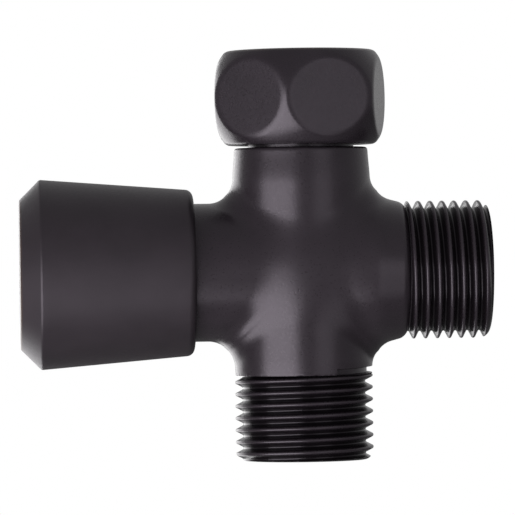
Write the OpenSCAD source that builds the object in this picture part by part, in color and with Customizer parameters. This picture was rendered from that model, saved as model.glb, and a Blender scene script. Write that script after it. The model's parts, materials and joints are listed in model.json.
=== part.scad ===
// Three-way diverter valve for a half-inch shower arm, in millimetres.
// A quarter turn of the knob on the left turns a hollow plug that sends the water from the
// swivel nut on top to the side outlet on the right or to the bottom outlet.
// +Z points out of the inlet nut, +X out of the side outlet, and -X towards the knob.
// Each piece is drawn about the point where the axes of the arms cross, and at_inlet()
// then moves it, so that the origin is on the axis at the outer end of the inlet thread.

/* [Pipe threads] */
// Outside diameter of the half-inch pipe thread
thread_d = 20.955; // [17.5:0.005:26]
// Distance from one thread crest to the next
thread_pitch = 1.814; // [1.6:0.001:2.2]
// Depth of the thread
thread_depth = 1.162; // [0.9:0.001:1.3]
// Included angle of the thread
thread_angle = 55; // [50:1:60]
// Full crests on each outlet
outlet_crests = 6; // [4:1:9]
// Full crests inside the nut
nut_crests = 4; // [3:1:6]
// Radial clearance of the nut's thread round a pipe's
thread_gap = 0.1; // [0.05:0.01:0.2]

/* [Body] */
// Wall of the knob arm round the bonnet
arm_wall = 2.05; // [1.5:0.05:4]
// How much wider the side arm is than the others
side_arm_extra = 1.9; // [0.5:0.1:2.5]
// From the crossing to the shoulder under the nut
inlet_arm = 18.8; // [17.5:0.1:26]
// From the crossing to the shoulder of the bottom outlet
bottom_arm = 15.7; // [15:0.1:22]
// From the crossing to the shoulder of the side outlet
side_arm = 15.9; // [15:0.1:22]
// From the crossing to the end of the knob arm
knob_arm = 19; // [18.5:0.1:24]
// Inside corner radius above the knob arm
fillet_knob_top = 3.7; // [2:0.1:4.2]
// Inside corner radius below the knob arm
fillet_knob_bottom = 4; // [2:0.1:4.2]
// Inside corner radius above and below the side arm
fillet_side = 2.6; // [1.5:0.1:3.6]
// Taper of the neck below the nut, on the radius
neck_taper = 0.5; // [0:0.05:0.6]
// Wall between an outlet's thread root and its bore
outlet_wall = 2.3; // [1.5:0.1:3]
// Radius of the ports between the plug and the arms
port_r = 4; // [3:0.1:4.4]

/* [Swivel nut] */
// Height of the nut
nut_height = 14.3; // [14:0.1:18]
// Wall between the nut's thread root and its flats
nut_wall = 1.62; // [1.2:0.02:3]
// How far the rounded corners stand outside the flats
nut_corner = 1.65; // [0.8:0.05:1.8]
// Radius of the nut's rounded side, seen from the side
nut_round = 11.3; // [9.5:0.1:20]
// Turn of the hexagon about the inlet axis
nut_turn = 17.6; // [0:0.1:60]
// Thickness of the flange that holds the nut on its spigot
nut_flange = 3; // [2:0.1:4]
// Height of the countersink in the mouth of the nut
nut_mouth = 0.9; // [0.5:0.05:1.5]
// Gap between the nut and the shoulder under it
nut_gap = 0.45; // [0.3:0.05:1]
// Radial running clearance of the flange round the spigot
swivel_gap = 0.08; // [0.03:0.01:0.1]
// Wall of the spigot
spigot_wall = 2; // [1.6:0.1:2.5]
// Diameter of the snap ring's wire
snap_wire = 1.4; // [1:0.1:1.6]

/* [Inlet washer and screen] */
// Thickness of the inlet washer
washer_t = 1.8; // [1.2:0.1:2.5]
// Gap between the washer and the crests of the nut's thread
washer_gap = 0.3; // [0.2:0.05:0.6]
// Thickness of the screen's sheet
screen_t = 0.4; // [0.3:0.05:0.6]
// Height of the screen's dome
screen_rise = 1.2; // [0.8:0.1:2]
// Radius of a hole in the screen
screen_hole = 0.55; // [0.4:0.05:0.6]

/* [Plug and seals] */
// Diameter of the plug
plug_d = 15; // [13:0.1:19]
// Length of the plug from the crossing towards the side outlet
plug_front = 9; // [8.5:0.1:10.5]
// Length of the plug from the crossing towards the knob
plug_rear = 8.5; // [8:0.1:9]
// Radius of the hollow inside the plug
plug_bore = 4.2; // [3:0.1:4.3]
// Wall between that hollow and the groove round the plug
plug_web = 1; // [0.8:0.1:1.2]
// Width of the groove round the plug
groove_w = 8; // [6:0.1:8.4]
// Angle of the land on each side of the window
land_angle = 30; // [24:1:34]
// Radial running clearance of the plug and the stem
run_gap = 0.05; // [0.02:0.01:0.08]
// Width of the seat ring round the inlet port
seat_wall = 1.5; // [1.2:0.1:1.8]
// Length of the seat ring above the plug
seat_len = 2.2; // [1.8:0.1:2.6]
// Thickness of the lip above the seat spring
seat_lip = 1.2; // [0.8:0.1:2]
// Diameter of the seat spring's wire
spring_wire = 0.6; // [0.4:0.05:0.7]
// Turns of the seat spring
spring_turns = 2.5; // [2:0.5:3]
// Thickness of an O-ring
ring_t = 1.2; // [1:0.05:1.3]
// Gap between an O-ring and the bore that it seals
ring_gap = 0.03; // [0.02:0.01:0.06]

/* [Stem and bonnet] */
// Diameter of the stem
stem_d = 8; // [7:0.1:9]
// Thickness of the stem's collar
collar_t = 1.5; // [1.2:0.1:2]
// Width of the tang that drives the plug
tang_w = 3; // [2.5:0.1:4]
// How far the tang reaches into the plug
tang_len = 2.6; // [2:0.1:3]
// Radius of the tang's two ends
tang_r = 5.6; // [4.5:0.1:5.8]
// Clearance between the tang and its slot
tang_gap = 0.05; // [0.02:0.01:0.1]
// Thickness of the thrust washer
thrust_t = 0.5; // [0.4:0.05:0.8]
// Step from the plug's bore out to the bonnet's thread
bonnet_step = 1; // [0.8:0.05:1.5]
// How far the bonnet's flange stays inside the arm's outside
bonnet_inset = 0.7; // [0.5:0.1:1]
// Thickness of the bonnet's flange
bonnet_flange_t = 1; // [0.8:0.1:1.5]
// Thickness of the bonnet's hexagon
bonnet_hex_t = 2.5; // [2:0.1:3]
// Length of the round boss outside the hexagon
bonnet_boss = 2; // [1:0.1:2.5]
// Diameter of the stop pin
stop_pin_d = 1.8; // [1.4:0.1:2]
// How far the stop pin reaches into its track
stop_pin_reach = 2; // [1.5:0.1:2.5]
// Turn of the knob from one stop to the other
knob_travel = 90; // [60:1:90]
// Small axial gap between pieces that lie end to end
end_gap = 0.05; // [0.02:0.01:0.1]

/* [Knob] */
// Length of the knob
knob_len = 26.3; // [24:0.1:34]
// How far the knob reaches back over the knob arm
knob_overlap = 2.4; // [1:0.1:3.5]
// Gap between the knob's skirt and the arm
skirt_gap = 0.4; // [0.3:0.05:1]
// Wall of the skirt at its rear edge, before the edge is rounded
skirt_wall = 1.65; // [1.2:0.05:3]
// Taper of the knob's side from its axis
knob_taper = 4.2; // [0:0.1:6]
// Width of the bevel round the knob's face
knob_bevel = 3.1; // [1:0.1:4]
// Radius of the knob's rear edge
knob_edge = 1.2; // [0.4:0.1:1.6]
// Thickness of the knob's end wall
knob_face_t = 3.4; // [2.5:0.1:4]
// Wall of the hub round the stem
hub_wall = 2.6; // [2:0.1:4]
// Depth of the stem's end inside the hub
stem_in_hub = 9; // [7:0.1:10]
// Clearance of the hub round the stem
hub_gap = 0.03; // [0.02:0.01:0.08]
// Diameter of the grub screw
grub_d = 4; // [3:0.1:4.5]
// Length of the grub screw
grub_len = 3.2; // [2.5:0.1:3.3]
// Depth of the flat on the stem
stem_flat = 0.8; // [0.5:0.1:1.2]

/* [Hidden] */
$fn = 96;
eps = 0.01;

// The thread's section: flat crests and roots, with slanted flanks between them.
crest_r = thread_d / 2;
root_r = crest_r - thread_depth;
flank = thread_depth * tan(thread_angle / 2);
flat = thread_pitch / 2 - flank;
nut_root_r = crest_r + thread_gap;
nut_crest_r = root_r + thread_gap;

// Each outlet ends in a bevelled lip after its last root. The lead is the distance from
// the shoulder to the first crest, and the tail is that from the last crest to the end.
lip_len = 0.9;
lip_rise = 0.25;
lip_r = root_r + 0.3;
outlet_end_r = root_r - 0.4;
bottom_lead = 1.95;
bottom_tail = 1.9;
side_lead = 0.95;
side_tail = 2.4;
bottom_end = bottom_arm + bottom_lead + (outlet_crests - 1) * thread_pitch + bottom_tail;
side_end = side_arm + side_lead + (outlet_crests - 1) * thread_pitch + side_tail;
outlet_bore = root_r - outlet_wall;

// Bores and the pieces in line with the knob.
plug_r = plug_d / 2;
bore_r = plug_r + run_gap;
bonnet_r = bore_r + bonnet_step;
arm_r = max(bonnet_r + run_gap + arm_wall, crest_r);
side_r = arm_r + side_arm_extra / 2;
side_round = 1.6;
side_slope = 13;
side_round_at = side_arm - side_round * sin(80);
side_round_r = side_r - (side_round_at - arm_r) * tan(side_slope) - side_round / cos(side_slope);
corner_knob_top = min(fillet_knob_top, inlet_arm - arm_r, knob_arm - arm_r);
corner_knob_bottom = min(fillet_knob_bottom, bottom_arm - arm_r, knob_arm - arm_r);
corner_side = min(fillet_side, bottom_arm - arm_r, side_arm - side_round - arm_r);
plug_play = 0.2;
side_seat = plug_front + plug_play;
side_shoulder = 2.2;
side_port_r = port_r + 1.2;
hollow_end = port_r + 0.2;
plug_ring_at = groove_w / 2 + 1.7;
ring_groove = 1.2 * ring_t;
collar_in = plug_rear + 0.5;
collar_out = collar_in + collar_t;
thrust_in = collar_out + end_gap;
bonnet_in = thrust_in + thrust_t + end_gap;
bonnet_flange_r = arm_r - bonnet_inset;
bonnet_flange_in = knob_arm + end_gap;
bonnet_hex_in = bonnet_flange_in + bonnet_flange_t;
bonnet_hex_out = bonnet_hex_in + bonnet_hex_t;
bonnet_end = bonnet_hex_out + bonnet_boss;
bonnet_neck_r = bonnet_r - 0.7;
bonnet_ring_r = bonnet_neck_r + ring_gap + ring_t / 2;
ring_seat_r = bonnet_ring_r + ring_t / 2 + ring_gap;
ring_seat_len = 1.8;
stem_r = stem_d / 2;
collar_r = bore_r - 0.35;
thrust_r = stem_r + 0.9;
stop_r = (thrust_r + 0.2 + collar_r) / 2 + 0.1;
stop_start = 135;
stop_slack = 1;
stop_play = 0.2;
stem_ring_r = stem_r + run_gap - ring_gap - ring_t / 2;
stem_ring_in = bonnet_in + stop_pin_reach + ring_t + 0.6;
stem_ring_out = stem_ring_in + 2.5 * ring_t;

// Swivel nut and the spigot that carries it.
nut_z0 = inlet_arm + nut_gap;
nut_thread_len = (nut_crests - 1) * thread_pitch + flat + flank;
snap_play = 0.2;
snap_lip = 0.3;
washer_seat = 0.6;
snap_room = nut_flange + snap_play + snap_wire + snap_lip + end_gap;
nut_len = max(nut_height, snap_room + washer_t - washer_seat + nut_thread_len + nut_mouth);
nut_z1 = nut_z0 + nut_len;
nut_mid = (nut_z0 + nut_z1) / 2;
nut_af_r = nut_root_r + nut_wall;
nut_r = nut_af_r + nut_corner;
nut_edge_r = nut_r - nut_round + sqrt(nut_round * nut_round - nut_len * nut_len / 4);
inlet_z = nut_z1 - nut_mouth;
washer_r = nut_crest_r - washer_gap;
washer_overhang = 1.1;
spigot_r = washer_r - washer_overhang;
flange_r = spigot_r + swivel_gap;
inlet_bore = spigot_r - spigot_wall;
flange_top = nut_z0 + nut_flange;
snap_r = spigot_r + 0.15;
snap_z = flange_top + snap_play + snap_wire / 2;
nut_thread_low = inlet_z - nut_thread_len;
washer_top = nut_thread_low + washer_seat;
washer_bottom = washer_top - washer_t;
spigot_top = washer_bottom - end_gap;
port_len = 3.4;
port_top = bore_r + port_len;

// Ports and the seat round the inlet port.
window_angle = asin(port_r / plug_r);
groove_start = window_angle + land_angle;
seat_r = port_r + seat_wall;
seat_top = plug_r + seat_len;
spring_play = 0.05;
spring_rise = 1.5 * spring_wire * spring_turns;
spring_base = seat_top + spring_play + spring_wire / 2;
seat_counter = spring_base + spring_rise + spring_wire / 2 + spring_play;
spring_r = seat_r - spring_wire / 2 - 0.25;
spring_sides = 8;
spring_steps = 14 * spring_turns;

// Knob.
knob_rear = knob_arm - knob_overlap;
knob_face = knob_rear + knob_len;
skirt_bore = arm_r + skirt_gap;
knob_rear_r = skirt_bore + skirt_wall;
knob_ridge_r = knob_rear_r + (knob_len - knob_bevel) * tan(knob_taper);
knob_face_r = knob_ridge_r - knob_bevel;
hub_r = stem_r + hub_gap + hub_wall;
hub_rear = bonnet_end + 0.5;
stem_end = hub_rear + stem_in_hub;
grub_x = hub_rear + stem_in_hub / 2;
grub_seat = stem_r - stem_flat + end_gap;

// Points of an arc of radius r about [cx, cy].
function arc(cx, cy, r, a0, a1, n) =
    [for (i = [0:n]) let (a = a0 + (a1 - a0) * i / n) [cx + r * cos(a), cy + r * sin(a)]];

// The thread's outline from root to root, as [radius, length] points round each crest.
function crests(count, first, tip, base) = [
    for (i = [0:count - 1])
        let (c = first + i * thread_pitch)
            for (p = [[base, -flat / 2 - flank], [tip, -flat / 2], [tip, flat / 2], [base, flat / 2 + flank]])
                [p[0], c + p[1]]
];

module at_inlet() translate([0, 0, -inlet_z]) children();
module towards_knob() rotate([0, -90, 0]) children();
module towards_side() rotate([0, 90, 0]) children();
module towards_bottom() rotate([180, 0, 0]) children();

// A plain cylinder between two distances along the arm.
module rod(r, from, to) translate([0, 0, from]) cylinder(r = r, h = to - from);

// A washer between two distances along the arm.
module washer(inner, outer, from, to) difference() {
    rod(outer, from, to);
    rod(inner, from - 1, to + 1);
}

// An O-ring at a distance along the arm.
module o_ring(r, t, at) translate([0, 0, at]) rotate_extrude() translate([r, 0]) circle(r = t / 2, $fn = 32);

// A threaded outlet from its shoulder to its bevelled end.
module outlet(shoulder, lead, end) rotate_extrude() polygon(concat(
    [[0, shoulder - 3], [root_r, shoulder - 3]],
    crests(outlet_crests, shoulder + lead, crest_r, root_r),
    [
        [root_r, end - lip_len],
        [lip_r, end - lip_len + lip_rise],
        [outlet_end_r, end],
        [0, end]
    ]
));

// The rounded inside corner between two arms: a quarter of a bend as thick as the arms.
module bend(fillet, turn) rotate([0, turn, 0])
    translate([-arm_r - fillet, 0, arm_r + fillet])
        rotate([90, 0, 0]) rotate([0, 0, -90])
            rotate_extrude(angle = 90) translate([arm_r + fillet, 0]) circle(r = arm_r);

module body_shape() {
    // Inlet arm, with its slight taper, and the spigot that carries the nut
    neck = arm_r + corner_knob_top;
    rod(arm_r, -bottom_arm, neck);
    translate([0, 0, neck]) cylinder(r1 = arm_r, r2 = arm_r - neck_taper, h = inlet_arm - neck);
    rod(spigot_r, inlet_arm - 1, spigot_top);
    // Knob arm
    towards_knob() rod(arm_r, -1, knob_arm);
    // Side arm, with a rounded end
    towards_side() rotate_extrude() polygon(concat(
        [[0, 0], [arm_r, 0], [side_r, arm_r]],
        arc(side_round_r, side_round_at, side_round, side_slope, 80, 6),
        [[0, side_arm]]
    ));
    bend(corner_knob_top, 0);
    bend(corner_knob_bottom, -90);
    bend(corner_side, 180);
    bend(corner_side, 90);
    towards_bottom() outlet(bottom_arm, bottom_lead, bottom_end);
    towards_side() outlet(side_arm, side_lead, side_end);
}

module valve_body() color("#2f2b2e") at_inlet() difference() {
    body_shape();
    // Inlet: bore, port, and the pocket of the seat and its spring
    rod(inlet_bore, seat_counter + seat_lip, spigot_top + 1);
    rod(port_r, 0, spigot_top);
    rod(seat_r + run_gap, 0, seat_counter);
    // Groove for the snap ring
    translate([0, 0, snap_z]) rotate_extrude()
        translate([snap_r - snap_wire / 2 - run_gap, -snap_wire / 2 - run_gap])
            square([snap_wire + 1, snap_wire + 2 * run_gap]);
    // Plug bore, bonnet bore and the seat of the bonnet's O-ring
    towards_knob() {
        rod(bore_r, -side_seat, knob_arm + 1);
        rod(bonnet_r + run_gap, bonnet_in - end_gap, knob_arm + 1);
        rod(ring_seat_r, knob_arm - ring_seat_len, knob_arm + 1);
    }
    // Side outlet
    towards_side() {
        rod(side_port_r, 0, side_end);
        rod(outlet_bore, side_seat + side_shoulder, side_end + 1);
    }
    // Bottom outlet
    towards_bottom() {
        rod(port_r, 0, port_top + 1);
        rod(outlet_bore, port_top, bottom_end + 1);
    }
}

module swivel_nut() color("#38343a") at_inlet() difference() {
    intersection() {
        // Rounded side
        rotate_extrude() intersection() {
            translate([nut_r - nut_round, nut_mid]) circle(r = nut_round, $fn = 128);
            translate([0, nut_z0]) square([nut_r + 1, nut_len]);
        }
        // Hexagon
        rotate([0, 0, nut_turn]) translate([0, 0, nut_z0])
            cylinder(r = nut_af_r / cos(30), h = nut_len, $fn = 6);
    }
    rod(flange_r, nut_z0 - 1, flange_top + 1);
    // Thread, with a plain relief below it and a countersunk mouth above it
    rotate_extrude() polygon(concat(
        [[0, flange_top], [nut_root_r, flange_top], [nut_root_r, nut_thread_low - 0.4]],
        [
            for (i = [nut_crests - 1:-1:0])
                let (c = inlet_z - flat / 2 - i * thread_pitch)
                    for (p = [[nut_root_r, -flat / 2 - flank], [nut_crest_r, -flat / 2],
                              [nut_crest_r, flat / 2], [nut_root_r, flat / 2 + flank]])
                        if (c + p[1] < nut_z1 - 0.35) [p[0], c + p[1]]
        ],
        [[nut_root_r, nut_z1 + 1], [0, nut_z1 + 1]]
    ));
}

// Split wire ring that keeps the nut's flange on the spigot
module nut_snap_ring() color("#b9bcc0") at_inlet() translate([0, 0, snap_z])
    rotate([0, 0, 100]) rotate_extrude(angle = 340) translate([snap_r, 0]) circle(r = snap_wire / 2, $fn = 32);

module inlet_washer() color("#1c1c1d") at_inlet()
    washer(inlet_bore, washer_r, washer_bottom, washer_top);

// Domed sheet with rings of round holes, clipped into the spigot's bore
module inlet_screen() color("#c4c7ca") at_inlet() difference() {
    dome_r = (inlet_bore * inlet_bore + screen_rise * screen_rise) / (2 * screen_rise);
    rim = inlet_bore - run_gap;
    row = 1.6;
    translate([0, 0, washer_bottom - screen_t - end_gap]) difference() {
        union() {
            intersection() {
                translate([0, 0, screen_rise - dome_r]) sphere(r = dome_r);
                rod(rim, 0, screen_rise + 1);
            }
            rod(rim, -1, screen_t);
        }
        translate([0, 0, screen_rise - dome_r]) sphere(r = dome_r - screen_t);
        rod(rim - screen_t, -2, 0);
    }
    rod(screen_hole, 0, nut_z1);
    for (ring = [1:3], i = [0:6 * ring - 1])
        rotate([0, 0, 60 * i / ring]) translate([row * ring, 0, 0]) rod(screen_hole, 0, nut_z1);
}

// Rubber seat whose lower end is shaped to the plug
module inlet_seat() color("#202021") at_inlet() difference() {
    rod(seat_r, 0, seat_top);
    rod(port_r, -1, seat_top + 1);
    towards_knob() rod(plug_r + run_gap, -seat_r - 1, seat_r + 1);
    translate([-seat_r - 1, -seat_r - 1, -1]) cube([2 * seat_r + 2, 2 * seat_r + 2, plug_r / 2]);
}

// Coil spring that presses the seat down
module seat_spring() color("#c9ccd0") at_inlet() polyhedron(
    [
        for (i = [0:spring_steps], j = [0:spring_sides - 1])
            let (
                t = 360 * spring_turns * i / spring_steps,
                a = 360 * j / spring_sides,
                r = spring_r + spring_wire / 2 * cos(a),
                z = spring_base + spring_rise * i / spring_steps
            )
                [r * cos(t), r * sin(t), z + spring_wire / 2 * sin(a)]
    ],
    concat(
        [[for (j = [0:spring_sides - 1]) j]],
        [[for (j = [spring_sides - 1:-1:0]) spring_steps * spring_sides + j]],
        [
            for (i = [0:spring_steps - 1], j = [0:spring_sides - 1])
                let (a = i * spring_sides, b = a + spring_sides, k = (j + 1) % spring_sides)
                    [a + j, b + j, b + k, a + k]
        ]
    ),
    convexity = 6
);

// Flat bar with round ends that drives the plug, or, with a gap round it, its slot
module tang(from, to, gap) intersection() {
    rod(tang_r + gap, from, to);
    translate([-tang_w / 2 - gap, -plug_r, from]) cube([tang_w + 2 * gap, plug_d, to - from]);
}

module plug() color("#d9d6cc") at_inlet() towards_knob() difference() {
    rod(plug_r, -plug_front, plug_rear);
    // Hollow to the side outlet, and the window into it
    rod(plug_bore, -plug_front - 1, hollow_end);
    rotate([0, 90, 0]) rod(port_r, 0, plug_r + 1);
    // Groove that joins the inlet to the bottom outlet
    rotate([0, 0, groove_start]) rotate_extrude(angle = 360 - 2 * groove_start)
        translate([plug_bore + plug_web, -groove_w / 2]) square([plug_r, groove_w]);
    // O-ring grooves
    for (at = [-plug_ring_at, plug_ring_at])
        washer(bore_r - ring_t - 2 * ring_gap, plug_r + 1, at - ring_groove / 2, at + ring_groove / 2);
    tang(plug_rear - tang_len - end_gap, plug_rear + 1, tang_gap);
}

module plug_front_ring() color("#161617") at_inlet() towards_knob()
    o_ring(bore_r - ring_gap - ring_t / 2, ring_t, -plug_ring_at);

module plug_rear_ring() color("#161617") at_inlet() towards_knob()
    o_ring(bore_r - ring_gap - ring_t / 2, ring_t, plug_ring_at);

// Stem with its collar, its tang and a flat for the grub screw
module stem() color("#b08d4f") at_inlet() towards_knob() difference() {
    union() {
        rod(stem_r, collar_in, stem_end);
        rod(collar_r, collar_in, collar_out);
        tang(plug_rear - tang_len, collar_in + eps, 0);
    }
    for (at = [stem_ring_in, stem_ring_out])
        washer(stem_ring_r - ring_t / 2 - ring_gap, stem_r + 1, at - ring_groove / 2, at + ring_groove / 2);
    translate([-stem_r, stem_r - stem_flat, hub_rear]) cube([stem_d, stem_d, stem_in_hub + 1]);
    rotate([0, 0, stop_start]) translate([stop_r, 0, 0]) rod(stop_pin_d / 2, 0, collar_out + 1);
}

module stem_inner_ring() color("#161617") at_inlet() towards_knob() o_ring(stem_ring_r, ring_t, stem_ring_in);

module stem_outer_ring() color("#161617") at_inlet() towards_knob() o_ring(stem_ring_r, ring_t, stem_ring_out);

module thrust_washer() color("#efeee8") at_inlet() towards_knob()
    washer(stem_r + run_gap, thrust_r, thrust_in, thrust_in + thrust_t);

// Pin pressed into the collar, which runs in the bonnet's track and stops the turn
module stop_pin() color("#b9bcc0") at_inlet() towards_knob()
    rotate([0, 0, stop_start]) translate([stop_r, 0, 0]) rod(stop_pin_d / 2, collar_in, bonnet_in + stop_pin_reach);

module bonnet() color("#b08d4f") at_inlet() towards_knob() difference() {
    union() {
        rod(bonnet_r, bonnet_in, knob_arm - ring_seat_len);
        rod(bonnet_neck_r, bonnet_in, bonnet_hex_in);
        rod(bonnet_flange_r, bonnet_flange_in, bonnet_hex_in);
        translate([0, 0, bonnet_hex_in]) cylinder(r = bonnet_flange_r, h = bonnet_hex_t, $fn = 6);
        rod(hub_r, bonnet_hex_in, bonnet_end);
    }
    rod(stem_r + run_gap, 0, bonnet_end + 1);
    // Track of the stop pin
    track_w = stop_pin_d + 2 * run_gap;
    track_end = bonnet_in + stop_pin_reach + stop_play;
    track_slack = stop_slack + asin(stop_pin_d / 2 / stop_r);
    rotate([0, 0, stop_start - track_slack]) rotate_extrude(angle = knob_travel + 2 * track_slack)
        translate([stop_r - track_w / 2, bonnet_in - 1]) square([track_w, track_end - bonnet_in + 1]);
}

module bonnet_ring() color("#161617") at_inlet() towards_knob()
    o_ring(bonnet_ring_r, ring_t, knob_arm - ring_seat_len / 2);

module knob() color("#38343a") at_inlet() towards_knob() difference() {
    rotate_extrude() polygon(concat(
        [[0, knob_rear]],
        arc(knob_rear_r - knob_edge, knob_rear + knob_edge, knob_edge, -90, -knob_taper, 6),
        [[knob_ridge_r, knob_face - knob_bevel], [knob_face_r, knob_face], [0, knob_face]]
    ));
    // Skirt over the arm, and the hollow round the hub
    rod(skirt_bore, knob_rear - 1, hub_rear);
    washer(hub_r, skirt_bore, hub_rear - eps, knob_face - knob_face_t);
    // Bore for the stem, and the grub screw's hole
    rod(stem_r + hub_gap, 0, stem_end + 0.5);
    translate([0, 0, grub_x]) rotate([-90, 0, 0]) rod(grub_d / 2 + run_gap, 0, knob_ridge_r + 1);
}

module grub_screw() color("#8d8f92") at_inlet() towards_knob() translate([0, 0, grub_x]) rotate([-90, 0, 0])
    difference() {
        rod(grub_d / 2, grub_seat, grub_seat + grub_len);
        translate([0, 0, grub_seat + grub_len / 2]) cylinder(r = grub_d / 4 / cos(30), h = grub_len, $fn = 6);
    }

valve_body();
swivel_nut();
nut_snap_ring();
inlet_washer();
inlet_screen();
inlet_seat();
seat_spring();
plug();
plug_front_ring();
plug_rear_ring();
stem();
stem_inner_ring();
stem_outer_ring();
thrust_washer();
stop_pin();
bonnet();
bonnet_ring();
knob();
grub_screw();
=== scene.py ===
"""Looks of the three-way diverter valve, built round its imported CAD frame.

Sizes are in millimetres, measured from the point where the axes of the arms cross, and
place() turns them into the frame's metres at the very end of each piece.
"""

import json
import math

import bpy
import numpy as np
from mathutils import Matrix, Vector


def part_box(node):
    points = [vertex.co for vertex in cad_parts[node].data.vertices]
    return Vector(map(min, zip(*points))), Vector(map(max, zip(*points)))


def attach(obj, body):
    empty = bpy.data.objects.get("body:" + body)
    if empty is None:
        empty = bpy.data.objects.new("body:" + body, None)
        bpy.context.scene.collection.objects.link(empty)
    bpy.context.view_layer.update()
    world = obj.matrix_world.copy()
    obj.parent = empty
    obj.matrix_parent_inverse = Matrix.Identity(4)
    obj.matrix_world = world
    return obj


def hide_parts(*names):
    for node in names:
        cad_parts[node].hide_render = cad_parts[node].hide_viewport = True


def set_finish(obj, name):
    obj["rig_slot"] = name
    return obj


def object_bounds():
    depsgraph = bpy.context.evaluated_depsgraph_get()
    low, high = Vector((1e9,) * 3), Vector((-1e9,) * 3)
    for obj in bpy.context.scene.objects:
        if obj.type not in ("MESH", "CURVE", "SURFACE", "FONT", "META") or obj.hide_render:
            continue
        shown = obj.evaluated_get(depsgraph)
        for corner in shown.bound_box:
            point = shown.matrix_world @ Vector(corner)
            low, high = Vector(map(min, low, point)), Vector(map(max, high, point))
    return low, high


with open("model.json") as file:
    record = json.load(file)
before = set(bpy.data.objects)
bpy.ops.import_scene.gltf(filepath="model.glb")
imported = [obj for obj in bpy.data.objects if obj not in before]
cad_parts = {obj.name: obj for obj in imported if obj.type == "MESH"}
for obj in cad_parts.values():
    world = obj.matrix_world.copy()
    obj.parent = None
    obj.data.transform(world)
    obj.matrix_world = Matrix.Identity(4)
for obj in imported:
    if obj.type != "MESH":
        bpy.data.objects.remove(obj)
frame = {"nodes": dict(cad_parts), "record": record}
cad_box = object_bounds()

# ---------------------------------------------------------------- sizes, from the frame

MM = 0.001


def extent(node, axis):
    """Lowest and highest coordinate of a CAD node along an axis, in mm, in the row frame."""
    low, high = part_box(node)
    return low[axis] / MM, high[axis] / MM


knob_low, knob_high = extent("knob", 2)
CROSS_Z = (knob_low + knob_high) / 2

PITCH = 1.814
THREAD_DEPTH = 1.162
CREST_R = 20.955 / 2
PITCH_R = CREST_R - THREAD_DEPTH / 2
ROOT_R = CREST_R - THREAD_DEPTH
FLANK = math.radians(27.5)

SIDE_END = extent("valve_body", 0)[1]
BOTTOM_END = CROSS_Z - extent("valve_body", 2)[0]
SPIGOT_TOP = extent("valve_body", 2)[1] - CROSS_Z
KNOB_FACE, KNOB_REAR = (-v for v in extent("knob", 0))
NUT_LOW, NUT_HIGH = (v - CROSS_Z for v in extent("swivel_nut", 2))
BONNET_R = extent("bonnet_ring", 1)[1]
SPRING_TOP = extent("seat_spring", 2)[1] - CROSS_Z
PLUG_FRONT = extent("plug", 0)[1]
PLUG_R = extent("plug", 1)[1]
BONNET_IN = -extent("bonnet", 0)[1]
SNAP_Z = sum(extent("nut_snap_ring", 2)) / 2 - CROSS_Z

ARM_R = 10.48
INLET_ARM = 18.8
BOTTOM_ARM = 15.7
SIDE_ARM = 15.9
KNOB_ARM = 19.0
SPIGOT_R = 8.02
OUTLET_BORE = 7.0
INLET_BORE = 6.02
PORT_R = 4.0
GAP = 0.05

NUT_CORNER_R = 13.85
NUT_FLAT_R = 12.2
NUT_ROUND = 11.3
NUT_TURN = 17.6
NUT_EDGE = 0.45
NUT_MOUTH = 0.9

KNOB_RIDGE_R = 14.42
KNOB_REAR_R = 12.65
KNOB_BEVEL = 3.1
KNOB_EDGE = 1.2
KNOB_WALL = 3.4
SKIRT_BORE = 10.95
HUB_R = 6.63
SCREW_HOLE_R = 2.05

# ---------------------------------------------------------------- mesh helpers


def mesh_object(name, vertices, faces):
    mesh = bpy.data.meshes.new(name)
    mesh.from_pydata(vertices, [], faces)
    mesh.validate()
    piece = bpy.data.objects.new(name, mesh)
    bpy.context.scene.collection.objects.link(piece)
    return piece


def grid_faces(rows, segments, closed_rows=False):
    """Quads of a grid of rings. Each ring is closed, and the rings may be a closed loop too."""
    r = np.arange(rows if closed_rows else rows - 1)[:, None]
    s = np.arange(segments)[None, :]
    n = (s + 1) % segments
    up = (r + 1) % rows
    quads = np.stack([r * segments + s, r * segments + n, up * segments + n, up * segments + s], -1)
    return quads.reshape(-1, 4).tolist()


def rings_object(name, rings, closed_rows=False):
    """A closed solid from an array of rings, [row, segment, xyz], with flat caps if open."""
    rows, segments, _ = rings.shape
    vertices = rings.reshape(-1, 3)
    faces = grid_faces(rows, segments, closed_rows)
    if not closed_rows:
        ends = len(vertices)
        vertices = np.vstack([vertices, rings[0].mean(0), rings[-1].mean(0)])
        last = (rows - 1) * segments
        for i in range(segments):
            j = (i + 1) % segments
            faces.append((ends, j, i))
            faces.append((ends + 1, last + i, last + j))
    return mesh_object(name, vertices.tolist(), faces)


def revolved(name, outline, segments=192, closed=False):
    """A solid of revolution about Z from [radius, height] points."""
    outline = np.array(outline, float)
    turn = np.linspace(0, 2 * math.pi, segments, endpoint=False)
    r = outline[:, 0][:, None]
    z = np.broadcast_to(outline[:, 1][:, None], (len(outline), segments))
    rings = np.stack([r * np.cos(turn), r * np.sin(turn), z], -1)
    return rings_object(name, rings, closed)


def arc(cx, cy, r, start, end, steps=10):
    """Points of an arc, with the angles in degrees."""
    turn = np.radians(np.linspace(start, end, steps + 1))
    return [(cx + r * math.cos(t), cy + r * math.sin(t)) for t in turn]


def turned(piece, matrix):
    piece.data.transform(matrix)
    return piece


TOWARDS_KNOB = Matrix.Rotation(math.radians(-90), 4, "Y")
TOWARDS_SIDE = Matrix.Rotation(math.radians(90), 4, "Y")
TOWARDS_BOTTOM = Matrix.Rotation(math.radians(180), 4, "X")


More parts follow.
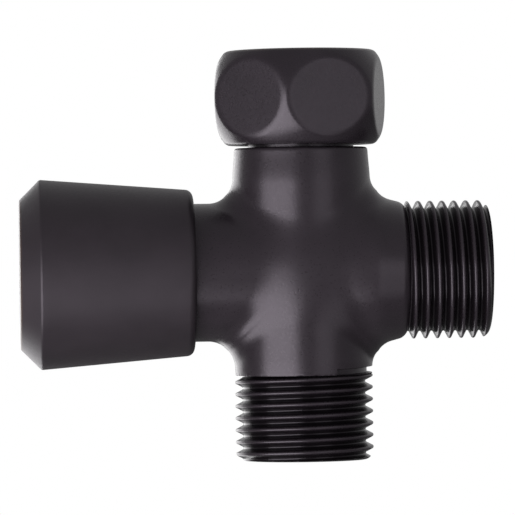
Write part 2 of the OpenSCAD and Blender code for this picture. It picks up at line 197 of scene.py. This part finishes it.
def combine(piece, others, operation):
    """Adds the other solids to a piece, or cuts them out of it, and deletes them."""
    for other in others:
        step = piece.modifiers.new("solid", "BOOLEAN")
        step.operation = operation
        step.solver = "MANIFOLD"
        step.object = other
    bpy.context.view_layer.update()
    graph = bpy.context.evaluated_depsgraph_get()
    result = bpy.data.meshes.new_from_object(piece.evaluated_get(graph))
    result.name = piece.name
    piece.modifiers.clear()
    piece.data = result
    for other in others:
        bpy.data.objects.remove(other)
    return piece


def place(piece, body, slot, *nodes):
    """Moves a finished piece into the frame, in metres, on its body, in place of its CAD nodes."""
    piece.data.transform(Matrix.Translation((0, 0, CROSS_Z * MM)) @ Matrix.Scale(MM, 4))
    piece.data.shade_smooth()
    piece.data.set_sharp_from_angle(angle=math.radians(50))
    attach(piece, body)
    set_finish(piece, slot)
    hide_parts(*nodes)
    return piece


# ---------------------------------------------------------------- threads


def thread_offset(x):
    """Height of a Whitworth thread above its pitch line, x mm (up to PITCH / 2) from a crest."""
    r = 0.137329 * PITCH
    top = THREAD_DEPTH / 2 - r
    x = np.abs(x)
    mirrored = x > PITCH / 4
    x = np.where(mirrored, PITCH / 2 - x, x)
    edge = r * math.cos(FLANK)
    rounded = top + np.sqrt(np.maximum(r * r - x * x, 0))
    slanted = top + r * math.sin(FLANK) - (x - edge) / math.tan(FLANK)
    height = np.where(x < edge, rounded, slanted)
    return np.where(mirrored, -height, height)


def helix(first, s, turn):
    """Distance along the axis from the nearest crest of a right-hand thread."""
    phase = (s - first) / PITCH - turn / (2 * math.pi)
    return (phase - np.round(phase)) * PITCH


def soft_min(a, b, width):
    """The smaller of two values, with the corner between them rounded over a width."""
    h = np.clip(0.5 + 0.5 * (b - a) / width, 0, 1)
    return b + (a - b) * h - width * h * (1 - h)


def outlet(name, shoulder, end, first):
    """A threaded outlet along +Z, from inside the shoulder to its rounded end."""
    bevel, bevel_len = 1.5, 1.9
    segments = 288
    s = np.arange(shoulder - 0.5, end + 1e-6, 0.055)
    s = np.append(s[s < end - 0.02], end)[:, None]
    turn = np.linspace(0, 2 * math.pi, segments, endpoint=False)[None, :]
    r = PITCH_R + thread_offset(helix(first, s, turn))
    along = np.clip((s - (end - bevel_len)) / bevel_len, 0, 1)
    limit = CREST_R + 0.1 - bevel * (1 - np.sqrt(1 - along ** 2 * 0.97))
    r = soft_min(r, limit, 0.12)
    r = np.where(s < shoulder, ROOT_R, r)
    rings = np.stack([r * np.cos(turn), r * np.sin(turn), np.broadcast_to(s, r.shape)], -1)
    return rings_object(name, rings)


def run_out(name, shoulder, first, stop, sweep):
    """Cutter for the last stretch of the groove, where the tool ran into the neck and stopped."""
    steps = 90
    low, high = ROOT_R + 0.25, CREST_R + 0.6
    section = [(-0.36, low), (0.36, low), (0.62, high), (-0.62, high)]
    turn = np.radians(np.linspace(stop - sweep, stop, steps + 1))
    turns_up = round((shoulder + 0.25 - first) / PITCH - 0.5 - math.radians(stop) / (2 * math.pi))
    centre = first + (turns_up + 0.5 + turn / (2 * math.pi)) * PITCH
    rings = np.array([
        [(r * math.cos(t), r * math.sin(t), c + offset) for offset, r in section]
        for t, c in zip(turn, centre)
    ])
    return rings_object(name, rings)


# ---------------------------------------------------------------- body

CORNERS = {(-1, 1): 3.7, (-1, -1): 4.0, (1, 1): 3.0, (1, -1): 3.0}


def ramp(x, low, high):
    t = np.clip((x - low) / (high - low), 0, 1)
    return t * t * (3 - 2 * t)


def rounded_end(side, cap, r):
    """Distance to a shape cut by a plane, with a rounded edge between them."""
    u = np.maximum(side + r, 0)
    v = np.maximum(cap + r, 0)
    return np.minimum(np.maximum(side, cap), -r) + np.sqrt(u * u + v * v)


def body_distance(p):
    """Signed distance, near the surface, to the cast body without its outlets and bores."""
    x, y, z = p[..., 0], p[..., 1], p[..., 2]
    upright = np.sqrt(x * x + y * y) + 1e-9
    level = np.sqrt(y * y + z * z) + 1e-9
    # Upright arms: a slight taper under the nut and above the bottom thread
    upright_r = ARM_R - 0.34 * ramp(z, 13.2, 19.2) - 0.08 * ramp(-z, 13.5, BOTTOM_ARM)
    # Level arms: the side arm flares, then slopes down to its rounded end
    flare = 0.95 * ramp(x, -6, 11)
    slope = 0.27 * (x - 11 + np.sqrt((x - 11) ** 2 + 0.6)) / 2
    level_r = ARM_R + flare - slope
    a = upright - upright_r
    b = level - level_r
    a = rounded_end(a, z - INLET_ARM, 0.45)
    a = rounded_end(a, -z - BOTTOM_ARM, 0.12)
    b = rounded_end(b, x - SIDE_ARM, 1.3)
    b = rounded_end(b, -x - KNOB_ARM, 0.3)
    # A ball rolled along the corner between the arms rounds it off
    right, up = ramp(x, -4, 4), ramp(z, -4, 4)
    f = sum(
        CORNERS[i, j] * (right if i > 0 else 1 - right) * (up if j > 0 else 1 - up)
        for i in (-1, 1) for j in (-1, 1)
    )
    cosine = np.clip(y * y / (upright * level), 0, 0.999)
    u, v = f - a, f - b
    inside = (u > cosine * v) & (v > cosine * u) & (u > 0) & (v > 0)
    ball = f - np.sqrt(np.maximum(u * u + v * v - 2 * cosine * u * v, 0) / (1 - cosine ** 2))
    # A softer rounding takes over where the arms meet almost level, at the front and back
    nearest = np.minimum(a, b)
    sharp = np.where(inside, np.maximum(nearest - ball, 0), 0)
    soft = nearest - soft_min(a, b, 2.6)
    return nearest - np.cbrt(sharp ** 3 + soft ** 3)


def surface_net(distance, low, high, step):
    """Quads where the distance changes sign on a grid, with a vertex in each crossed cell."""
    axes = [np.arange(lo, hi + step, step) for lo, hi in zip(low, high)]
    grid = distance(np.stack(np.meshgrid(*axes, indexing="ij"), -1)) < 0
    shape = [n - 1 for n in grid.shape]
    count = np.zeros(shape, int)
    for i in (0, 1):
        for j in (0, 1):
            for k in (0, 1):
                count += grid[i:i + shape[0], j:j + shape[1], k:k + shape[2]]
    mixed = (count > 0) & (count < 8)
    index = np.full(shape, -1)
    index[mixed] = np.arange(mixed.sum())
    vertices = (np.argwhere(mixed) + 0.5) * step + np.array([a[0] for a in axes])
    faces = []
    for axis in range(3):
        here = np.moveaxis(grid, axis, 0)
        cells = np.moveaxis(index, axis, 0)
        crossed = here[:-1, 1:-1, 1:-1] != here[1:, 1:-1, 1:-1]
        i, j, k = np.nonzero(crossed)
        around = ((0, 0), (1, 0), (1, 1), (0, 1))
        quad = np.stack([cells[i, j + dj, k + dk] for dj, dk in around], -1)
        outward = here[:-1, 1:-1, 1:-1][i, j, k]
        if axis == 1:
            outward = ~outward
        quad[~outward] = quad[~outward][:, ::-1]
        faces.append(quad)
    return vertices, np.concatenate(faces)


def settle(vertices, faces, distance, rounds):
    """Spreads the vertices evenly and moves them onto the surface, over and over."""
    pairs = np.concatenate([faces[:, [i, (i + 1) % 4]] for i in range(4)])
    pairs = np.concatenate([pairs, pairs[:, ::-1]])
    degree = np.bincount(pairs[:, 0], minlength=len(vertices))[:, None]
    nudge = 0.02
    for _ in range(rounds):
        total = np.stack(
            [np.bincount(pairs[:, 0], vertices[pairs[:, 1], c], len(vertices)) for c in range(3)],
            -1,
        )
        vertices = 0.5 * vertices + 0.5 * total / degree
        for _ in range(3):
            d = distance(vertices)
            slope = np.stack(
                [
                    (distance(vertices + nudge * e) - distance(vertices - nudge * e)) / (2 * nudge)
                    for e in np.eye(3)
                ], -1
            )
            length = np.maximum((slope ** 2).sum(-1), 0.25)
            vertices = vertices - slope * (d / length)[:, None]
    return vertices


def make_body():
    low = (-KNOB_ARM - 1, -12.5, -BOTTOM_ARM - 1)
    high = (SIDE_ARM + 1, 12.5, INLET_ARM + 1)
    vertices, faces = surface_net(body_distance, low, high, 0.27)
    vertices = settle(vertices, faces, body_distance, 4)
    body = mesh_object("valve_body_cast", vertices.tolist(), faces.tolist())
    # Spigot with the groove of the snap ring
    groove_r, groove_h = SPIGOT_R - 0.6, 0.75
    spigot = revolved("spigot", [
        (SPIGOT_R, INLET_ARM - 1), (SPIGOT_R, SNAP_Z - groove_h), (groove_r, SNAP_Z - groove_h),
        (groove_r, SNAP_Z + groove_h), (SPIGOT_R, SNAP_Z + groove_h),
        (SPIGOT_R, SPIGOT_TOP - 0.2), (SPIGOT_R - 0.2, SPIGOT_TOP),
    ])
    bottom_first = BOTTOM_ARM + 1.95
    side_first = SIDE_ARM + 0.95
    bottom = turned(outlet("bottom", BOTTOM_ARM, BOTTOM_END, bottom_first), TOWARDS_BOTTOM)
    side = turned(outlet("side", SIDE_ARM, SIDE_END, side_first), TOWARDS_SIDE)
    combine(body, [spigot, bottom, side], "UNION")
    # Bores
    pocket_r = 5.55
    lip = SPRING_TOP + GAP
    inlet = revolved("inlet", [
        (pocket_r, 0), (pocket_r, lip), (PORT_R, lip), (PORT_R, lip + 1.2),
        (INLET_BORE, lip + 1.2), (INLET_BORE, SPIGOT_TOP + 1),
    ])
    down = turned(revolved("down", [
        (PORT_R, 0), (PORT_R, PLUG_R + 3.4), (OUTLET_BORE, PLUG_R + 3.4),
        (OUTLET_BORE, BOTTOM_END - 0.35), (OUTLET_BORE + 1.35, BOTTOM_END + 1),
    ]), TOWARDS_BOTTOM)
    across = turned(revolved("across", [
        (PORT_R + 1.2, 0), (PORT_R + 1.2, PLUG_FRONT + 2.4), (OUTLET_BORE, PLUG_FRONT + 2.4),
        (OUTLET_BORE, SIDE_END - 0.35), (OUTLET_BORE + 1.35, SIDE_END + 1),
    ]), TOWARDS_SIDE)
    knob_side = turned(revolved("knob_side", [
        (PLUG_R + GAP, -PLUG_FRONT - 0.2), (PLUG_R + GAP, BONNET_IN - GAP),
        (PLUG_R + 1.1, BONNET_IN - GAP), (PLUG_R + 1.1, KNOB_ARM - 1.8),
        (BONNET_R + 0.03, KNOB_ARM - 1.8), (BONNET_R + 0.03, KNOB_ARM + 1),
    ]), TOWARDS_KNOB)
    cutters = [inlet, down, across, knob_side]
    bottom_stop = run_out("stop_bottom", BOTTOM_ARM, bottom_first, 65, 150)
    cutters.append(turned(bottom_stop, TOWARDS_BOTTOM))
    combine(body, cutters, "DIFFERENCE")
    return place(body, "housing", "black_body", "valve_body")


# ---------------------------------------------------------------- nut


def make_nut():
    segments = 720
    turn = np.linspace(0, 2 * math.pi, segments, endpoint=False)[None, :]
    mid = (NUT_LOW + NUT_HIGH) / 2
    edge = NUT_EDGE
    # Outside, from the bottom edge to the top edge
    t = np.linspace(0, 90, 9)
    low_edge = NUT_LOW + edge * (1 - np.sin(np.radians(t)))[::-1]
    high_edge = NUT_HIGH - edge * (1 - np.sin(np.radians(t)))
    side = np.linspace(NUT_LOW + edge, NUT_HIGH - edge, 130)[1:-1]
    z = np.concatenate([low_edge, side, high_edge])[:, None]
    barrel = NUT_CORNER_R - NUT_ROUND + np.sqrt(NUT_ROUND ** 2 - (z - mid) ** 2)
    sixth = math.pi / 3
    off_flat = (turn - math.radians(NUT_TURN)) % sixth - sixth / 2
    flats = NUT_FLAT_R / np.cos(off_flat)
    outside = soft_min(np.broadcast_to(barrel, (len(z), segments)), flats, 0.34)
    near_end = np.maximum(np.abs(z - mid) - (NUT_HIGH - NUT_LOW) / 2 + edge, 0) / edge
    outside = outside - edge * (1 - np.sqrt(np.maximum(1 - near_end ** 2, 0)))
    rows = [(outside[i], z[i, 0]) for i in range(len(z))]
    # Mouth, thread, relief, flange and underside
    mouth_r, mouth_h = CREST_R + 0.15, NUT_MOUTH
    rows.append((mouth_r + 0.12, NUT_HIGH))
    rows.append((mouth_r, NUT_HIGH - 0.12))
    thread_low = NUT_HIGH - mouth_h - 3.4 * PITCH
    first = NUT_HIGH - mouth_h - 0.2
    for s in np.arange(NUT_HIGH - 0.2, thread_low, -0.06):
        # This runs past half a pitch, so one flank comes out as a step and a flat
        r = PITCH_R + 0.1 - thread_offset(helix(first + PITCH / 2, s, turn[0]) - PITCH / 2)
        cone = mouth_r - (NUT_HIGH - s) * 1.05
        rows.append((np.maximum(r, cone), s))
    relief_r, flange_r = CREST_R + 0.1, SPIGOT_R + 0.08
    flange_top = SNAP_Z - 0.9
    rows.append((relief_r, thread_low - 0.2))
    rows += [(relief_r, flange_top), (flange_r + 0.2, flange_top), (flange_r, flange_top - 0.2)]
    rows += [(flange_r, NUT_LOW + 0.2), (flange_r + 0.2, NUT_LOW)]
    ring = [
        np.stack([r * np.cos(turn[0]), r * np.sin(turn[0]), np.full(segments, height)], -1)
        for r, height in rows
    ]
    nut = rings_object("swivel_nut_turned", np.array(ring), closed_rows=True)
    return place(nut, "nut", "black_nut", "swivel_nut")


# ---------------------------------------------------------------- knob


def turned_tool(outline):
    """A round cutter about Z."""
    return revolved("tool", outline, 128)


def line_between(start, end, steps):
    """Points between two points, without the two themselves."""
    return [
        (start[0] + (end[0] - start[0]) * f, start[1] + (end[1] - start[1]) * f)
        for f in np.linspace(0, 1, steps)[1:-1]
    ]


def make_knob():
    length = KNOB_FACE - KNOB_REAR
    taper = math.degrees(math.atan((KNOB_RIDGE_R - KNOB_REAR_R) / (length - KNOB_BEVEL)))
    sine, cosine = math.sin(math.radians(taper)), math.cos(math.radians(taper))
    # The ridge's small radius touches the tapered side and the 45-degree bevel
    ridge_round = 0.5
    back = ridge_round * math.tan(math.radians((45 + taper) / 2))
    ridge_centre = (
        KNOB_RIDGE_R - back * sine - ridge_round * cosine,
        KNOB_FACE - KNOB_BEVEL - back * cosine + ridge_round * sine,
    )
    face_round = 0.35
    face_r = KNOB_RIDGE_R - KNOB_BEVEL - face_round * math.tan(math.radians(22.5))
    rear = arc(KNOB_REAR_R - KNOB_EDGE, KNOB_REAR + KNOB_EDGE, KNOB_EDGE, -90, -taper, 14)
    ridge = arc(*ridge_centre, ridge_round, -taper, 45, 10)
    rim = arc(face_r, KNOB_FACE - face_round, face_round, 45, 90, 6)
    outline = rear + line_between(rear[-1], ridge[0], 26)
    outline += ridge + line_between(ridge[-1], rim[0], 12) + rim
    flat_r = KNOB_RIDGE_R - KNOB_BEVEL - 1
    outline += [(r, KNOB_FACE) for r in np.linspace(flat_r, 0.5, 12)]
    knob = revolved("knob_cast", outline, 288)
    hub_rear = -extent("bonnet", 0)[0] + 0.5
    stem_r = extent("stem_outer_ring", 1)[1] + 0.01
    hollow_end = KNOB_FACE - KNOB_WALL
    stem_end = -extent("stem", 0)[0] + 0.5
    skirt = turned_tool([(SKIRT_BORE, KNOB_REAR - 1), (SKIRT_BORE, hub_rear)])
    hollow = revolved("hollow", [
        (HUB_R, hub_rear - 0.5), (SKIRT_BORE, hub_rear - 0.5),
        (SKIRT_BORE, hollow_end), (HUB_R, hollow_end),
    ], closed=True)
    bore = turned_tool([(stem_r, hub_rear - 2), (stem_r, stem_end)])
    screw_x = -sum(extent("grub_screw", 0)) / 2
    hole = turned_tool([(SCREW_HOLE_R, 0), (SCREW_HOLE_R, 20)])
    turned(hole, Matrix.Translation((0, 0, screw_x)) @ Matrix.Rotation(math.radians(-90), 4, "X"))
    combine(knob, [skirt, hollow, bore, hole], "DIFFERENCE")
    turned(knob, TOWARDS_KNOB)
    return place(knob, "spindle", "black_knob", "knob")


body = make_body()
nut = make_nut()
knob = make_knob()

# ---------------------------------------------------------------- materials


def new_material(name):
    material = bpy.data.materials.new(name)
    material.use_nodes = True
    tree = material.node_tree
    return material, tree, tree.nodes["Principled BSDF"]


def node(tree, kind, **settings):
    made = tree.nodes.new(kind)
    for key, value in settings.items():
        setattr(made, key, value)
    return made


def noise(tree, scale, detail, rough):
    """Noise over the object's own coordinates, scale in features per metre."""
    place_node = node(tree, "ShaderNodeTexCoord")
    made = node(tree, "ShaderNodeTexNoise")
    made.inputs["Scale"].default_value = scale
    made.inputs["Detail"].default_value = detail
    made.inputs["Roughness"].default_value = rough
    tree.links.new(place_node.outputs["Object"], made.inputs["Vector"])
    return made.outputs["Fac"]


def remap(tree, value, low, high, to_low, to_high):
    made = node(tree, "ShaderNodeMapRange")
    tree.links.new(value, made.inputs["Value"])
    names = ("From Min", "From Max", "To Min", "To Max")
    for name, number in zip(names, (low, high, to_low, to_high)):
        made.inputs[name].default_value = number
    return made.outputs["Result"]


def mix_colour(tree, factor, first, second):
    made = node(tree, "ShaderNodeMix", data_type="RGBA")
    tree.links.new(factor, made.inputs["Factor"])
    for socket, value in ((made.inputs[6], first), (made.inputs[7], second)):
        if isinstance(value, tuple):
            socket.default_value = (*value, 1)
        else:
            tree.links.new(value, socket)
    return made.outputs[2]


def multiply(tree, first, second):
    made = node(tree, "ShaderNodeMath", operation="MULTIPLY")
    for socket, value in zip(made.inputs, (first, second)):
        if isinstance(value, (int, float)):
            socket.default_value = value
        else:
            tree.links.new(value, socket)
    return made.outputs[0]


def bump(tree, shader, height, distance):
    made = node(tree, "ShaderNodeBump")
    made.inputs["Distance"].default_value = distance
    made.inputs["Strength"].default_value = 1.0
    tree.links.new(height, made.inputs["Height"])
    tree.links.new(made.outputs["Normal"], shader.inputs["Normal"])


def radius_about(tree, first, second):
    """Distance in mm from an axis, from the two coordinates across it."""
    total = node(tree, "ShaderNodeMath", operation="ADD")
    tree.links.new(multiply(tree, first, first), total.inputs[0])
    tree.links.new(multiply(tree, second, second), total.inputs[1])
    root = node(tree, "ShaderNodeMath", operation="SQRT")
    tree.links.new(total.outputs[0], root.inputs[0])
    return multiply(tree, root.outputs[0], 1 / MM)


def groove_depth(tree):
    """0 on the cast body and the threads' crests, up to 1 at the bottom of their grooves."""
    split = node(tree, "ShaderNodeSeparateXYZ")
    tree.links.new(node(tree, "ShaderNodeTexCoord").outputs["Object"], split.inputs[0])
    x, y, z = split.outputs
    level = node(tree, "ShaderNodeMath", operation="SUBTRACT")
    tree.links.new(z, level.inputs[0])
    level.inputs[1].default_value = CROSS_Z * MM
    level = level.outputs[0]
    total = node(tree, "ShaderNodeMath", operation="ADD")
    for socket, along, sign, shoulder, across in (
        (0, x, 1, SIDE_ARM, (y, level)), (1, level, -1, BOTTOM_ARM, (x, y))
    ):
        past = remap(tree, along, sign * shoulder * MM, sign * (shoulder + 0.1) * MM, 0, 1)
        depth = remap(tree, radius_about(tree, *across), CREST_R - 0.12, CREST_R - 0.5, 0, 1)
        tree.links.new(multiply(tree, past, depth), total.inputs[socket])
    return total.outputs[0]


def end_wear(tree, ends):
    """1 on a piece's outermost ends. Each end is an axis and the coordinate in mm there."""
    split = node(tree, "ShaderNodeSeparateXYZ")
    tree.links.new(node(tree, "ShaderNodeTexCoord").outputs["Object"], split.inputs[0])
    total = None
    for axis, end in ends:
        inner = end - math.copysign(0.35, end if axis == "X" else end - CROSS_Z)
        mask = remap(tree, split.outputs[axis], inner * MM, end * MM, 0, 1)
        if total is not None:
            both = node(tree, "ShaderNodeMath", operation="MAXIMUM")
            tree.links.new(total, both.inputs[0])
            tree.links.new(mask, both.inputs[1])
            mask = both.outputs[0]
        total = mask
    return total


def black_coating(name, colour, low, high, ends, threaded=False):
    """Satin black coating on brass: cloudy, faintly pebbled, worn warm at its outermost ends;
    threaded pieces also get painted shade in their grooves.
    """
    material, tree, shader = new_material(name)
    cloud = noise(tree, 160, 4, 0.55)
    fine = noise(tree, 2600, 3, 0.6)
    worn = multiply(tree, end_wear(tree, ends), remap(tree, cloud, 0.35, 0.65, 0.2, 0.7))
    lighter = tuple(c * 1.35 for c in colour)
    base = mix_colour(tree, remap(tree, cloud, 0.3, 0.7, 0, 1), colour, lighter)
    warm = mix_colour(tree, worn, base, (0.075, 0.045, 0.028))
    rough = remap(tree, fine, 0.3, 0.7, low, high)
    if threaded:
        # Painted shade: the base colour darkens towards the bottom of the thread grooves, where
        # shade falls; the grooves are also made glossier and less specular
        groove = groove_depth(tree)
        warm = mix_colour(tree, groove, warm, tuple(c * 0.35 for c in colour))
        rough = multiply(tree, rough, remap(tree, groove, 0, 1, 1, 0.7))
        tree.links.new(remap(tree, groove, 0, 1, 0.5, 0.3), shader.inputs["Specular IOR Level"])
    tree.links.new(warm, shader.inputs["Base Color"])
    tree.links.new(rough, shader.inputs["Roughness"])
    shader.inputs["IOR"].default_value = 1.5
    shader.inputs["Specular Tint"].default_value = (0.98, 0.88, 1.0, 1)
    bump(tree, shader, fine, 0.000012)
    return material


def metal(name, colour, roughness):
    material, tree, shader = new_material(name)
    streak = noise(tree, 900, 4, 0.6)
    darker = tuple(c * 0.8 for c in colour)
    shade = mix_colour(tree, remap(tree, streak, 0.3, 0.7, 0, 1), colour, darker)
    tree.links.new(shade, shader.inputs["Base Color"])
    rough = remap(tree, streak, 0.3, 0.7, roughness, roughness + 0.15)
    tree.links.new(rough, shader.inputs["Roughness"])
    shader.inputs["Metallic"].default_value = 1.0
    bump(tree, shader, streak, 0.000008)
    return material


def plain(name, colour, roughness):
    material, tree, shader = new_material(name)
    speck = noise(tree, 1500, 4, 0.6)
    darker = tuple(c * 0.82 for c in colour)
    shade = mix_colour(tree, remap(tree, speck, 0.3, 0.7, 0, 1), colour, darker)
    tree.links.new(shade, shader.inputs["Base Color"])
    rough = remap(tree, speck, 0.3, 0.7, roughness - 0.06, roughness + 0.08)
    tree.links.new(rough, shader.inputs["Roughness"])
    bump(tree, shader, speck, 0.00001)
    return material


MATERIALS = {
    "black_body": black_coating("black_body", (0.0130, 0.0100, 0.0128), 0.26, 0.34,
                                [("X", SIDE_END), ("Z", CROSS_Z - BOTTOM_END)], threaded=True),
    "black_nut": black_coating("black_nut", (0.0135, 0.0105, 0.0135), 0.25, 0.33,
                               [("Z", CROSS_Z + NUT_HIGH)]),
    "black_knob": black_coating("black_knob", (0.0135, 0.0105, 0.0130), 0.40, 0.48,
                                [("X", -KNOB_FACE)]),
    "steel": metal("steel", (0.60, 0.60, 0.60), 0.25),
    "screen": metal("screen", (0.64, 0.65, 0.66), 0.3),
    "black_rubber": plain("black_rubber", (0.02, 0.02, 0.021), 0.6),
    "acetal": plain("acetal", (0.72, 0.70, 0.64), 0.42),
    "ptfe": plain("ptfe", (0.86, 0.85, 0.82), 0.5),
    "brass": metal("brass", (0.72, 0.53, 0.26), 0.28),
}

for piece in (body, nut, knob):
    piece.data.materials.clear()
    piece.data.materials.append(MATERIALS[piece["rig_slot"]])

SLOT_OF = {row["node"]: row["material_slot"] for row in frame["record"]["subparts"]}
for name, cad in frame["nodes"].items():
    cad.data.materials.clear()
    cad.data.materials.append(MATERIALS[SLOT_OF[name]])

# ---------------------------------------------------------------- studio

WHITE = (1, 1, 1, 1)


def make_world():
    """White to the camera. The light is dimmer in front and on the left than behind."""
    world = bpy.data.worlds.new("studio")
    bpy.context.scene.world = world
    world.use_nodes = True
    tree = world.node_tree
    tree.nodes.clear()
    place_node = node(tree, "ShaderNodeTexCoord")
    split = node(tree, "ShaderNodeSeparateXYZ")
    tree.links.new(place_node.outputs["Generated"], split.inputs[0])
    depth = remap(tree, split.outputs["Y"], -0.1, 0.9, 0.36, 0.55)
    side = remap(tree, split.outputs["X"], -0.9, 0.1, 0.55, 1.0)
    depth = multiply(tree, depth, side)
    light = node(tree, "ShaderNodeBackground")
    light.inputs["Color"].default_value = WHITE
    tree.links.new(depth, light.inputs["Strength"])
    seen = node(tree, "ShaderNodeBackground")
    seen.inputs["Color"].default_value = WHITE
    path = node(tree, "ShaderNodeLightPath")
    choose = node(tree, "ShaderNodeMixShader")
    tree.links.new(path.outputs["Is Camera Ray"], choose.inputs["Fac"])
    tree.links.new(light.outputs[0], choose.inputs[1])
    tree.links.new(seen.outputs[0], choose.inputs[2])
    output = node(tree, "ShaderNodeOutputWorld")
    tree.links.new(choose.outputs[0], output.inputs["Surface"])


def direction(azimuth, elevation):
    """Unit vector from the object: azimuth 0 is the front (-Y), positive to the right."""
    a, e = math.radians(azimuth), math.radians(elevation)
    return Vector((math.sin(a) * math.cos(e), -math.cos(a) * math.cos(e), math.sin(e)))


def softbox(name, azimuth, elevation, distance, width, height, radiance):
    """A rectangular lamp aimed at the crossing of the arms."""
    lamp = bpy.data.lights.new(name, "AREA")
    lamp.shape = "RECTANGLE"
    lamp.size, lamp.size_y = width, height
    lamp.energy = radiance * math.pi * width * height
    holder = bpy.data.objects.new(name, lamp)
    bpy.context.scene.collection.objects.link(holder)
    away = direction(azimuth, elevation)
    holder.location = centre + away * distance
    holder.rotation_euler = away.to_track_quat("Z", "Y").to_euler()
    holder.visible_camera = False
    return holder


centre = Vector((0, 0, CROSS_Z * MM))
make_world()
softbox("key_low_left", -43, -23, 0.4, 0.48, 0.46, 4.2)
softbox("fill_right", 32, -12, 0.4, 0.22, 0.4, 0.75)
softbox("back_left", -150, -10, 0.4, 0.28, 0.4, 2.5)

# Floor, white to the camera and grey to the piece
SIZE = 4.0
FLOOR_DROP = 0.45
floor = mesh_object(
    "floor",
    [(-SIZE, -SIZE, 0), (SIZE, -SIZE, 0), (SIZE, SIZE, 0), (-SIZE, SIZE, 0)],
    [(0, 1, 2, 3)],
)
floor.location.z = cad_box[0][2] - FLOOR_DROP
material, tree, shader = new_material("floor")
shader.inputs["Base Color"].default_value = (0.3, 0.3, 0.3, 1)
shader.inputs["Roughness"].default_value = 0.9
shader.inputs["Emission Color"].default_value = WHITE
seen = node(tree, "ShaderNodeLightPath").outputs["Is Camera Ray"]
tree.links.new(multiply(tree, seen, 0.95), shader.inputs["Emission Strength"])
floor.data.materials.append(material)

# ---------------------------------------------------------------- camera

CAMERA_DISTANCE = 0.72
CAMERA_YAW = -3.3
CAMERA_ROLL = 0.8
VIEW_WIDTH = 0.07827
AIM = Vector((-0.0068, 0, CROSS_Z * MM + 0.0022))

camera = bpy.data.objects.new("camera", bpy.data.cameras.new("camera"))
bpy.context.scene.collection.objects.link(camera)
away = direction(CAMERA_YAW, 0)
camera.location = AIM + away * CAMERA_DISTANCE
camera.rotation_euler = (
    away.to_track_quat("Z", "Y").to_matrix() @ Matrix.Rotation(math.radians(-CAMERA_ROLL), 3, "Z")
).to_euler()
camera.data.sensor_width = 36
camera.data.lens = 36 * CAMERA_DISTANCE / VIEW_WIDTH
camera.data.clip_start = 0.01
bpy.context.scene.camera = camera

bpy.context.scene.view_settings.view_transform = "Standard"
